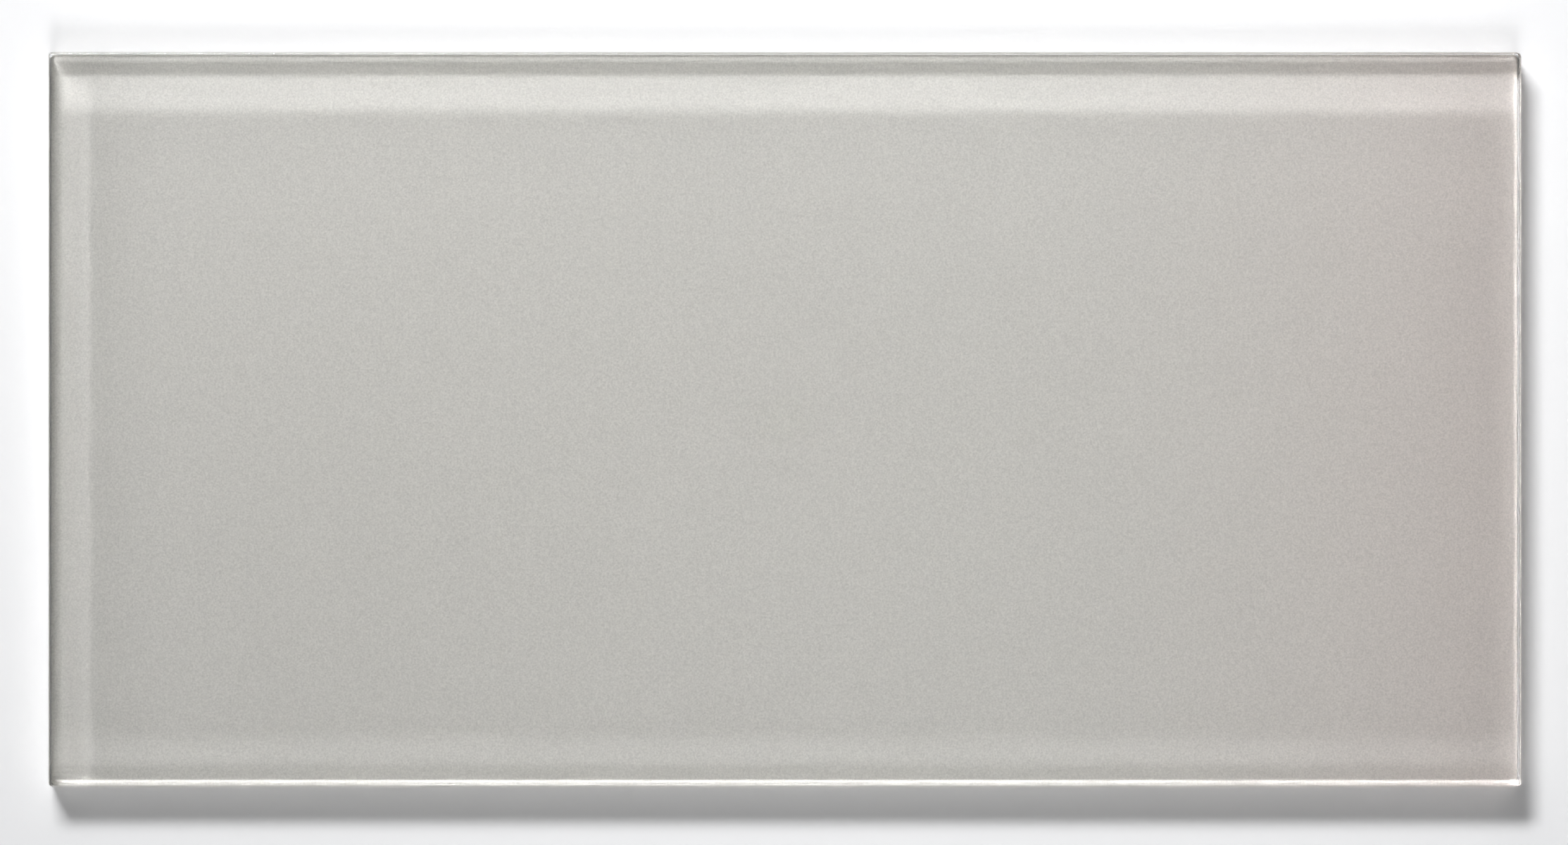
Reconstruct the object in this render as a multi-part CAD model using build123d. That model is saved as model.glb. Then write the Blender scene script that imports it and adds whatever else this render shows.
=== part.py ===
"""Back-enamelled glass wall tile: a clear glass body with fire-rounded edges, and the colour coat on its back.

The tile lies on its back. The origin is the middle of the back face, +X runs along the length, +Y along
the width and +Z out of the front. Sizes are in millimetres.
"""

import os
from math import sqrt

from build123d import *

# Overall sizes of the tile, glass and coat together
TILE_LENGTH = 300.0
TILE_WIDTH = 150.0
TILE_THICKNESS = 8.0

# Fired colour coat on the back
ENAMEL_THICKNESS = 0.15

# Seamed bevel between the walls and the back face
BACK_BEVEL = 0.5

# Height above the back up to which the walls stand straight
WALL_LAND_HEIGHT = 2.3

# Radius of the bow with which the walls lean in above the land
WALL_BOW_RADIUS = 20.0

# Round between the bowed walls and the front face
FRONT_EDGE_RADIUS = 0.3

# Plan radius left at the corners of the flat front face, inside the round
FACE_CORNER_RADIUS = 0.4

# The bow's centre is level with the top of the land, and the front round touches the bow from inside
bow_inset = WALL_BOW_RADIUS - sqrt(WALL_BOW_RADIUS**2 - (TILE_THICKNESS - WALL_LAND_HEIGHT) ** 2)
round_rise = TILE_THICKNESS - FRONT_EDGE_RADIUS - WALL_LAND_HEIGHT
front_inset = WALL_BOW_RADIUS - sqrt((WALL_BOW_RADIUS - FRONT_EDGE_RADIUS) ** 2 - round_rise**2)

glass_thickness = TILE_THICKNESS - ENAMEL_THICKNESS
corner_radius = FACE_CORNER_RADIUS + front_inset
corner_x = TILE_LENGTH / 2 - corner_radius
corner_y = TILE_WIDTH / 2 - corner_radius


def make_rim_section():
    """Section of the rim on the XZ plane, from the corner's axis at X = 0 out to the wall."""
    land_top = (corner_radius, WALL_LAND_HEIGHT)
    front_corner = (corner_radius - bow_inset, TILE_THICKNESS)
    back = Polyline(
        (0, ENAMEL_THICKNESS),
        (corner_radius - BACK_BEVEL, ENAMEL_THICKNESS),
        (corner_radius, ENAMEL_THICKNESS + BACK_BEVEL),
        land_top,
    )
    bow = TangentArc(land_top, front_corner, tangent=(0, 1))
    front = Polyline(front_corner, (0, TILE_THICKNESS), (0, ENAMEL_THICKNESS))
    section = make_face(back + bow + front)
    edge = section.vertices().sort_by_distance(Vector(*front_corner))[0]
    return Plane.XZ * fillet(edge, FRONT_EDGE_RADIUS)


def make_glass_body():
    """Slab of clear glass, seated on the coat: one rim section runs along each side and turns at each corner."""
    section = make_rim_section()
    end = Pos(X=corner_x) * extrude(section, corner_y, both=True)
    side = Pos(Y=corner_y) * Rot(Z=90) * extrude(section, corner_x, both=True)
    corner = revolve(section, Axis.Z, 90)
    core = Pos(Z=ENAMEL_THICKNESS) * Box(
        2 * corner_x,
        2 * corner_y,
        glass_thickness,
        align=(Align.CENTER, Align.CENTER, Align.MIN),
    )
    rim = [
        end,
        Pos(corner_x, corner_y) * corner,
        side,
        Pos(-corner_x, corner_y) * Rot(Z=90) * corner,
    ]
    opposite = [Rot(Z=180) * piece for piece in rim]
    return core + rim + opposite


def make_back_enamel():
    """Thin coat over the flat of the glass's back, inside the bevel."""
    outline = RectangleRounded(
        TILE_LENGTH - 2 * BACK_BEVEL,
        TILE_WIDTH - 2 * BACK_BEVEL,
        corner_radius - BACK_BEVEL,
    )
    return extrude(outline, ENAMEL_THICKNESS)


pieces = {
    "glass_body": make_glass_body(),
    "back_enamel": make_back_enamel(),
}

os.makedirs("parts", exist_ok=True)
for name, piece in pieces.items():
    export_step(piece, f"parts/{name}.step")
    print(name, "volume", round(piece.volume, 1), "mm3")
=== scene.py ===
"""Back-enamelled glass tile, lying on a white studio floor and seen from straight above."""

import math

import bpy
import numpy as np
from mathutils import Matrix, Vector


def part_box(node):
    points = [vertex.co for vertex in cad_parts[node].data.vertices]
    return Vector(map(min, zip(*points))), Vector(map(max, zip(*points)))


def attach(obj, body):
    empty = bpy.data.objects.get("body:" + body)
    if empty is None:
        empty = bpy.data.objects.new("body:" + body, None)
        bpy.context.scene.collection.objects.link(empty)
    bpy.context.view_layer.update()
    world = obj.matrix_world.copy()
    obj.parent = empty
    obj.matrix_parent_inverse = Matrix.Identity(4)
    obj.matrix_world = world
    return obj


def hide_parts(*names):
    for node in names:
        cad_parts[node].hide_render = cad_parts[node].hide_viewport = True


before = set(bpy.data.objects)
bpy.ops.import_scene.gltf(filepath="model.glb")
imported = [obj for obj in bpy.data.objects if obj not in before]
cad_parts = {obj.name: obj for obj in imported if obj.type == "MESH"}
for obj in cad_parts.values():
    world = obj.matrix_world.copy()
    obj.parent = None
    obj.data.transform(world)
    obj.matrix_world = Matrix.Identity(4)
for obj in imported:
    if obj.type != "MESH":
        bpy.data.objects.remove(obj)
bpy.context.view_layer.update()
scene = bpy.context.scene
MM = 0.001

# Edge sizes of the glass, as on the solid
BACK_BEVEL = 0.5 * MM
WALL_LAND_HEIGHT = 2.3 * MM
WALL_BOW_RADIUS = 20.0 * MM
FRONT_EDGE_RADIUS = 0.3 * MM
FACE_CORNER_RADIUS = 0.4 * MM

# Hand-finished walls differ a little: radii of the bow and the front round on the +X, +Y, -X and -Y wall
BOW_RADII = (30.0 * MM, 32.0 * MM, 18.0 * MM, 19.0 * MM)
FRONT_RADII = (0.3 * MM, 0.35 * MM, 0.3 * MM, 0.3 * MM)

# The glass reaches this far into the coat, so that no air lies between them
COAT_BITE = 0.03 * MM

# Hand-finished unevenness: how far the walls wander in, how far the front edge wanders beyond that,
# how many waves of each go round the tile, and the range of their weights
WALL_WANDER = 0.02 * MM
FRONT_WANDER = 0.01 * MM
WALL_WAVES = (2, 3, 5, 7, 11)
FRONT_WAVES = (3, 4, 7, 9, 13)
WAVE_WEIGHTS = (0.5, 1.0)
WANDER_SEED = 11

# Fineness of the mesh
SIDE_STEP = 2.0 * MM
CORNER_STEPS = 12
ROUND_STEPS = 20
BOW_STEPS = 28

# Surfaces of the glass mesh, by material slot
POLISHED = 0
GROUND = 1

# Glass: refraction, waviness of the polish, and roughness of the ground bevel with its fine tooth.
# A noise is given by its scale and its detail.
GLASS_IOR = 1.5
POLISH_NOISE = (30.0, 0.0)
POLISH_DEPTH = 0.005 * MM
BEVEL_ROUGHNESS = (0.08, 0.12)
TOOTH_NOISE = (2600.0, 3.0)

# Coat: colour, shade in the clouds and in the grain, roughness, and a painted pink light, a little darker,
# that comes in towards +X
COAT_COLOUR = (0.700, 0.693, 0.666)
CLOUD_NOISE = (9.0, 3.0)
CLOUD_SHADE = (0.97, 1.03)
GRAIN_NOISE = (3000.0, 2.0)
GRAIN_SHADE = (0.74, 1.26)
GRAIN_DEPTH = 0.01 * MM
COAT_ROUGHNESS = (0.75, 0.95)
# Painted pink light and shade: towards +X the coat colour turns pinker and a little darker, standing in
# for a pink reflected light
PAINTED_PINK_LIGHT = (1.0, 0.955, 0.955)
PAINTED_PINK_START = 0.040
PAINTED_PINK_END = 0.142

# Floor: size, cells each way, drop below the tile's back, colour, and where it fades to plain white
WHITE = (1.0, 1.0, 1.0)
FLOOR_SIZE = 8.0
FLOOR_CELLS = 8
FLOOR_DROP = 0.02 * MM
FLOOR_COLOUR = (0.865, 0.868, 0.880)
FADE_START = 0.20
FADE_END = 0.45

# Softboxes: place, aim, size, and the level at which they make a white floor shine where they aim
KEY_PLACE = (-0.293, 0.838, 0.826)
KEY_AIM = (0.12, 0.10, 0.0)
KEY_SIZE = (0.46, 0.21)
KEY_LEVEL = 0.955
HALO_PLACE = (-0.280, 0.980, 0.74)
HALO_SIZE = (0.80, 0.50)
HALO_LEVEL = 0.16
FILL_PLACE = (0.0, -0.74, 0.90)
FILL_AIM = (0.0, 0.15, 0.0)
FILL_SIZE = (0.40, 0.40)
FILL_LEVEL = 0.24
BEAM = math.radians(86.0)

# Room: its light, and the heights on the sky between which the white sides give way to the dark ceiling
ROOM_LEVEL = 0.02
SIDES_TOP = 0.5
CEILING_START = 0.9

# Bounces that light may take, in all or through glass, and off surfaces
GLASS_BOUNCES = 24
SURFACE_BOUNCES = 8

# Photograph: frame width in pixels, pixels per metre on the front face, and the tile's offset in the frame
FRAME_WIDTH_PX = 2227
PX_PER_M = 2102 / 0.300
TILE_OFFSET_PX = (0.2, 3.6)
EYE_HEIGHT = 0.80
SENSOR_WIDTH = 36.0

_, (half_length, half_width, front_z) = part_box("glass_body")
_, (_, _, coat_top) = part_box("back_enamel")
base_z = coat_top - COAT_BITE


def front_meet(bow_radius, front_radius):
    """Inset of the flat front face from the wall, and the bow's lean where the front round touches it."""
    rise = front_z - front_radius - WALL_LAND_HEIGHT
    reach = bow_radius - front_radius
    return bow_radius - np.sqrt(reach**2 - rise**2), np.arcsin(rise / reach)


corner_radius = FACE_CORNER_RADIUS + front_meet(WALL_BOW_RADIUS, FRONT_EDGE_RADIUS)[0]


def rim_profile(bow_radius, front_radius):
    """Runs of the rim's section, front to back, each with its surface.

    A run is a list of inset, height, and outward and upward part of the normal.
    """
    front_inset, lean = front_meet(bow_radius, front_radius)
    plain = np.ones_like(bow_radius)
    front_round = []
    for share in np.linspace(0.0, 1.0, ROUND_STEPS + 1):
        turn = share * (math.pi / 2 - lean)
        inset = front_inset - front_radius * np.sin(turn)
        height = front_z - front_radius * (1 - np.cos(turn))
        front_round.append((inset, height, np.sin(turn), np.cos(turn)))
    bow = []
    for share in np.linspace(1.0, 0.0, BOW_STEPS + 1):
        turn = share * lean
        inset = bow_radius * (1 - np.cos(turn))
        height = WALL_LAND_HEIGHT + bow_radius * np.sin(turn)
        bow.append((inset, height, np.cos(turn), np.sin(turn)))
    bevel_top = coat_top + BACK_BEVEL
    land = [(0 * plain, height * plain, plain, 0 * plain) for height in (WALL_LAND_HEIGHT, bevel_top)]
    slant = math.sqrt(0.5)
    bevel = [
        (inset * plain, height * plain, slant * plain, -slant * plain)
        for inset, height in ((0.0, bevel_top), (bevel_top - base_z, base_z))
    ]
    return [(front_round, POLISHED), (bow, POLISHED), (land, POLISHED), (bevel, GROUND)]


def rim_stations():
    """Stations round the plan: centre of turn, outward direction and distance run along the wall."""
    centre_x, centre_y = half_length - corner_radius, half_width - corner_radius
    corners = [(1, 1), (-1, 1), (-1, -1), (1, -1)]
    stations = []
    run = 0.0
    for index, (sign_x, sign_y) in enumerate(corners):
        start = index * math.pi / 2
        centre = np.array([sign_x * centre_x, sign_y * centre_y])
        for step in range(CORNER_STEPS + 1):
            angle = start + math.pi / 2 * step / CORNER_STEPS
            along = run + corner_radius * (angle - start)
            stations.append((centre, np.array([math.cos(angle), math.sin(angle)]), along))
        run += corner_radius * math.pi / 2
        next_x, next_y = corners[(index + 1) % len(corners)]
        side = np.array([next_x * centre_x, next_y * centre_y]) - centre
        length = np.linalg.norm(side)
        count = round(length / SIDE_STEP)
        outward = stations[-1][1]
        for step in range(1, count):
            share = step / count
            stations.append((centre + side * share, outward, run + length * share))
        run += length
    return stations, run


def wander(along, lap, waves, rng):
    """Smooth unevenness between 0 and 1, and its slope, made of waves that close round the tile."""
    value = np.zeros_like(along)
    slope = np.zeros_like(along)
    for count in waves:
        rate = 2 * math.pi * count / lap
        phase = rng.uniform(0, 2 * math.pi)
        weight = rng.uniform(*WAVE_WEIGHTS) / math.sqrt(count)
        value += weight * np.cos(rate * along + phase)
        slope -= weight * rate * np.sin(rate * along + phase)
    spread = value.max() - value.min()
    return (value - value.min()) / spread, slope / spread


def skin(name, runs):
    """Mesh over the loops of each run, closed by a flat face at the front and at the back."""
    first_loops, _ = runs[0]
    points = [first_loops[0][0]]
    total = len(points[0])
    faces, corner_normals, surfaces = [], [], []
    for loops, surface in runs:
        for (_, upper_normal), (place, lower_normal) in zip(loops, loops[1:]):
            points.append(place)
            lower = (len(points) - 1) * total
            upper = lower - total
            for a in range(total):
                b = (a + 1) % total
                faces.append((upper + b, upper + a, lower + a, lower + b))
                corner_normals.extend((upper_normal[b], upper_normal[a], lower_normal[a], lower_normal[b]))
                surfaces.append(surface)
    last = (len(points) - 1) * total
    faces.append(tuple(range(total)))
    faces.append(tuple(reversed(range(last, last + total))))
    corner_normals.extend([(0, 0, 1)] * total + [(0, 0, -1)] * total)
    surfaces.extend((POLISHED, POLISHED))
    mesh = bpy.data.meshes.new(name)
    mesh.from_pydata(np.concatenate(points).tolist(), [], faces)
    mesh.polygons.foreach_set("material_index", surfaces)
    mesh.polygons.foreach_set("use_smooth", [True] * len(faces))
    mesh.normals_split_custom_set([tuple(map(float, normal)) for normal in corner_normals])
    return mesh


def make_glass():
    """Glass body with bowed walls, a rounded front edge and a bevelled back, slightly uneven."""
    stations, lap = rim_stations()
    centres, outs, along = (np.array(column) for column in zip(*stations))
    rng = np.random.default_rng(WANDER_SEED)
    wall, wall_slope = wander(along, lap, WALL_WAVES, rng)
    edge, edge_slope = wander(along, lap, FRONT_WAVES, rng)
    tangents = np.stack([-outs[:, 1], outs[:, 0]], axis=1)
    facing = np.clip(np.column_stack([outs, -outs]), 0.0, None) ** 2
    profile = rim_profile(facing @ np.array(BOW_RADII), facing @ np.array(FRONT_RADII))
    bow_height = front_z - WALL_LAND_HEIGHT

    def loop(inset, height, outward, upward):
        """Points and normals of one loop round the rim."""
        share = np.clip(height - WALL_LAND_HEIGHT, 0.0, None) / bow_height
        moved = inset + WALL_WANDER * wall + FRONT_WANDER * edge * share**2
        slope = WALL_WANDER * wall_slope + FRONT_WANDER * edge_slope * share**2
        lean = 2 * FRONT_WANDER * edge * share / bow_height
        plan = centres + outs * (corner_radius - moved)[:, None]
        points = np.column_stack([plan, height])
        flat = (outs + tangents * slope[:, None]) * outward[:, None]
        normals = np.column_stack([flat, upward + outward * lean])
        return points, normals / np.linalg.norm(normals, axis=1)[:, None]

    runs = [([loop(*spec) for spec in run], surface) for run, surface in profile]
    glass = bpy.data.objects.new("glass", skin("glass", runs))
    scene.collection.objects.link(glass)
    return glass


def new_material(name):
    """Empty node material, its tree and its output node."""
    material = bpy.data.materials.new(name)
    material.use_nodes = True
    tree = material.node_tree
    tree.nodes.clear()
    return material, tree, tree.nodes.new("ShaderNodeOutputMaterial")


def object_place(tree):
    """Place on the object, in its own coordinates."""
    return tree.nodes.new("ShaderNodeTexCoord").outputs["Object"]


def noise(tree, scale, detail):
    """Noise over the object's own coordinates."""
    texture = tree.nodes.new("ShaderNodeTexNoise")
    texture.inputs["Scale"].default_value = scale
    texture.inputs["Detail"].default_value = detail
    tree.links.new(object_place(tree), texture.inputs["Vector"])
    return texture.outputs["Fac"]


def bump(tree, height, distance, shader):
    """Raises a shader's surface by a height field."""
    node = tree.nodes.new("ShaderNodeBump")
    node.inputs["Distance"].default_value = distance
    tree.links.new(height, node.inputs["Height"])
    tree.links.new(node.outputs["Normal"], shader.inputs["Normal"])


def between(tree, factor, low, high, start=0.0, end=1.0):
    """Maps a factor onto a range of numbers."""
    node = tree.nodes.new("ShaderNodeMapRange")
    node.inputs["From Min"].default_value = start
    node.inputs["From Max"].default_value = end
    node.inputs["To Min"].default_value = low
    node.inputs["To Max"].default_value = high
    tree.links.new(factor, node.inputs["Value"])
    return node.outputs["Result"]


def maths(tree, operation, first, second):
    """Result of a sum between two values, each a number or a socket."""
    node = tree.nodes.new("ShaderNodeMath")
    node.operation = operation
    for socket, value in zip(node.inputs, (first, second)):
        if isinstance(value, float):
            socket.default_value = value
        else:
            tree.links.new(value, socket)
    return node.outputs["Value"]


def shaded(tree, colour, factor):
    """Colour times a number that varies over the surface."""
    node = tree.nodes.new("ShaderNodeVectorMath")
    node.operation = "SCALE"
    tree.links.new(colour, node.inputs[0])
    tree.links.new(factor, node.inputs["Scale"])
    return node.outputs["Vector"]


def mixed(tree, factor, first, second):
    """Shader that goes from the first to the second as the factor goes from 0 to 1."""
    node = tree.nodes.new("ShaderNodeMixShader")
    tree.links.new(factor, node.inputs["Fac"])
    tree.links.new(first, node.inputs[1])
    tree.links.new(second, node.inputs[2])
    return node.outputs["Shader"]


def clear_glass(name):
    """Clear glass: its material, tree and shader."""
    material, tree, output = new_material(name)
    shader = tree.nodes.new("ShaderNodeBsdfPrincipled")
    shader.inputs["Base Color"].default_value = (*WHITE, 1.0)
    shader.inputs["Transmission Weight"].default_value = 1.0
    shader.inputs["IOR"].default_value = GLASS_IOR
    tree.links.new(shader.outputs["BSDF"], output.inputs["Surface"])
    return material, tree, shader


def polished_glass():
    """Clear glass, polished with a faint waviness."""
    material, tree, shader = clear_glass("clear_glass")
    shader.inputs["Roughness"].default_value = 0.0
    bump(tree, noise(tree, *POLISH_NOISE), POLISH_DEPTH, shader)
    return material


def ground_glass():
    """Clear glass, ground to a slight roughness with a fine tooth."""
    material, tree, shader = clear_glass("ground_bevel")
    tooth = noise(tree, *TOOTH_NOISE)
    tree.links.new(between(tree, tooth, *BEVEL_ROUGHNESS), shader.inputs["Roughness"])
    return material


def enamel():
    """Fired warm grey enamel with faint clouds of shade and a fine grain, and painted pink light with
    slight painted shade towards the +X end.
    """
    material, tree, output = new_material("grey_enamel")
    shader = tree.nodes.new("ShaderNodeBsdfPrincipled")
    shader.inputs["Specular IOR Level"].default_value = 0.0
    axes = tree.nodes.new("ShaderNodeSeparateXYZ")
    tree.links.new(object_place(tree), axes.inputs["Vector"])
    # Painted pink light and shade towards the +X end: the colour is multiplied pinker and a little darker
    # there
    painted_pink_share = between(tree, axes.outputs["X"], 0.0, 1.0, PAINTED_PINK_START, PAINTED_PINK_END)
    painted_pink_mix = tree.nodes.new("ShaderNodeMix")
    painted_pink_mix.data_type = "RGBA"
    colours = [socket for socket in painted_pink_mix.inputs if socket.type == "RGBA"]
    colours[0].default_value = (*COAT_COLOUR, 1.0)
    colours[1].default_value = (*(a * b for a, b in zip(COAT_COLOUR, PAINTED_PINK_LIGHT)), 1.0)
    tree.links.new(maths(tree, "MULTIPLY", painted_pink_share, painted_pink_share), painted_pink_mix.inputs["Factor"])
    colour = next(socket for socket in painted_pink_mix.outputs if socket.type == "RGBA")
    cloud = between(tree, noise(tree, *CLOUD_NOISE), *CLOUD_SHADE)
    grain = noise(tree, *GRAIN_NOISE)
    mottle = maths(tree, "MULTIPLY", cloud, between(tree, grain, *GRAIN_SHADE))
    tree.links.new(shaded(tree, colour, mottle), shader.inputs["Base Color"])
    tree.links.new(between(tree, grain, *COAT_ROUGHNESS), shader.inputs["Roughness"])
    bump(tree, grain, GRAIN_DEPTH, shader)
    tree.links.new(shader.outputs["BSDF"], output.inputs["Surface"])
    return material


def seen_straight(tree):
    """1 where the camera looks, also by mirroring or through glass, and 0 where a matt surface is lit."""
    rays = tree.nodes.new("ShaderNodeLightPath")
    mirrored = maths(tree, "MAXIMUM", rays.outputs["Is Glossy Ray"], rays.outputs["Is Transmission Ray"])
    seen = maths(tree, "MAXIMUM", rays.outputs["Is Camera Ray"], mirrored)
    return maths(tree, "MULTIPLY", seen, maths(tree, "LESS_THAN", rays.outputs["Diffuse Depth"], 0.5))


def studio_floor():
    """White floor that takes the tile's shadow and fades to plain white well away from it."""
    bpy.ops.mesh.primitive_grid_add(
        x_subdivisions=FLOOR_CELLS,
        y_subdivisions=FLOOR_CELLS,
        size=FLOOR_SIZE,
        location=(0, 0, -FLOOR_DROP),
    )
    floor = bpy.context.object
    floor.name = "floor"
    material, tree, output = new_material("floor_white")
    paper = tree.nodes.new("ShaderNodeBsdfDiffuse")
    paper.inputs["Color"].default_value = (*FLOOR_COLOUR, 1.0)
    white = tree.nodes.new("ShaderNodeEmission")
    white.inputs["Color"].default_value = (*WHITE, 1.0)
    place = tree.nodes.new("ShaderNodeNewGeometry")
    distance = tree.nodes.new("ShaderNodeVectorMath")
    distance.operation = "LENGTH"
    tree.links.new(place.outputs["Position"], distance.inputs[0])
    fade = between(tree, distance.outputs["Value"], 0.0, 1.0, FADE_START, FADE_END)
    plain_white = maths(tree, "MULTIPLY", seen_straight(tree), fade)
    surface = mixed(tree, plain_white, paper.outputs["BSDF"], white.outputs["Emission"])
    tree.links.new(surface, output.inputs["Surface"])
    floor.data.materials.append(material)


def soft_box(name, place, aim, size, level):
    """Rectangular softbox with a grid, strong enough to light a white floor to the level where it aims."""
    lamp = bpy.data.lights.new(name, "AREA")
    lamp.shape = "RECTANGLE"
    lamp.size, lamp.size_y = size
    lamp.spread = BEAM
    throw = Vector(aim) - Vector(place)
    focus = 1 - BEAM / 2 / math.tan(BEAM / 2)
    lamp.energy = level * math.pi**2 * throw.length**3 / -throw.z * focus
    box = bpy.data.objects.new(name, lamp)
    box.location = place
    box.rotation_euler = throw.to_track_quat("-Z", "Y").to_euler()
    scene.collection.objects.link(box)


def studio_world():
    """Dim room with a dark ceiling, whose sides show as a white backdrop."""
    world = bpy.data.worlds.new("studio")
    world.use_nodes = True
    tree = world.node_tree
    tree.nodes.clear()
    output = tree.nodes.new("ShaderNodeOutputWorld")
    room = tree.nodes.new("ShaderNodeBackground")
    room.inputs["Color"].default_value = (*WHITE, 1.0)
    room.inputs["Strength"].default_value = ROOM_LEVEL
    white = tree.nodes.new("ShaderNodeBackground")
    white.inputs["Color"].default_value = (*WHITE, 1.0)
    coords = tree.nodes.new("ShaderNodeTexCoord")
    axes = tree.nodes.new("ShaderNodeSeparateXYZ")
    tree.links.new(coords.outputs["Generated"], axes.inputs["Vector"])
    sides = between(tree, axes.outputs["Z"], 1.0, 0.0, SIDES_TOP, CEILING_START)
    backdrop = maths(tree, "MULTIPLY", seen_straight(tree), sides)
    surface = mixed(tree, backdrop, room.outputs["Background"], white.outputs["Background"])
    tree.links.new(surface, output.inputs["Surface"])
    scene.world = world


def photo_camera():
    """Camera straight above the tile, framed as in the photograph."""
    lens = bpy.data.cameras.new("camera")
    lens.sensor_width = SENSOR_WIDTH
    lens.lens = SENSOR_WIDTH * EYE_HEIGHT * PX_PER_M / FRAME_WIDTH_PX
    camera = bpy.data.objects.new("camera", lens)
    shift_x, shift_y = TILE_OFFSET_PX
    camera.location = (-shift_x / PX_PER_M, -shift_y / PX_PER_M, front_z + EYE_HEIGHT)
    scene.collection.objects.link(camera)
    scene.camera = camera


def trace_settings():
    """Light through glass is neither blurred nor clamped, and guided paths find the lamps through it."""
    cycles = scene.cycles
    cycles.use_denoising = True
    cycles.use_guiding = True
    cycles.blur_glossy = 0.0
    cycles.sample_clamp_indirect = 0.0
    cycles.max_bounces = GLASS_BOUNCES
    cycles.transmission_bounces = GLASS_BOUNCES
    cycles.diffuse_bounces = SURFACE_BOUNCES
    cycles.glossy_bounces = SURFACE_BOUNCES


glass = make_glass()
glass.data.materials.append(polished_glass())
glass.data.materials.append(ground_glass())
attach(glass, "root")
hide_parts("glass_body")

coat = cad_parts["back_enamel"]
coat.data.materials.clear()
coat.data.materials.append(enamel())

studio_floor()
studio_world()
soft_box("key", KEY_PLACE, KEY_AIM, KEY_SIZE, KEY_LEVEL)
soft_box("halo", HALO_PLACE, KEY_AIM, HALO_SIZE, HALO_LEVEL)
soft_box("fill", FILL_PLACE, FILL_AIM, FILL_SIZE, FILL_LEVEL)
photo_camera()
trace_settings()
scene.view_settings.view_transform = "Standard"
